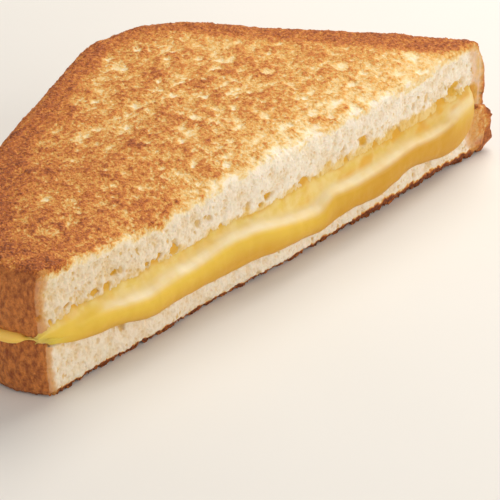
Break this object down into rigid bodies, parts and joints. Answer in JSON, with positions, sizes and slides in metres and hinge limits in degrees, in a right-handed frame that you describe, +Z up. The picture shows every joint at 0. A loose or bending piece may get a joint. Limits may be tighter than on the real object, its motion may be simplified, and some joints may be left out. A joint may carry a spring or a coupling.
{
  "type": "grilled cheese sandwich half",
  "caption": "Half of a grilled cheese sandwich: toasted loaf slices, cut from heel corner to far shoulder, with melted cheese that bulges out of the cut.",
  "frame": {"origin": "middle of the bounding box at its base, on the board under the lower slice", "axes": "+X along the cut face towards the loaf's heel corner, +Y from the cut face into the bread, +Z up through the layers"},
  "size_m": [0.1484, 0.0734, 0.0326],
  "materials": {
    "toasted_bread": "crisp browned toast with a pale open crumb at the cut",
    "melted_cheese": "smooth, soft shine"
  },
  "bodies": {
    "root": {"lower_bread_slice": "toasted_bread", "melted_cheese": "melted_cheese", "upper_bread_slice": "toasted_bread"}
  },
  "joints": []
}
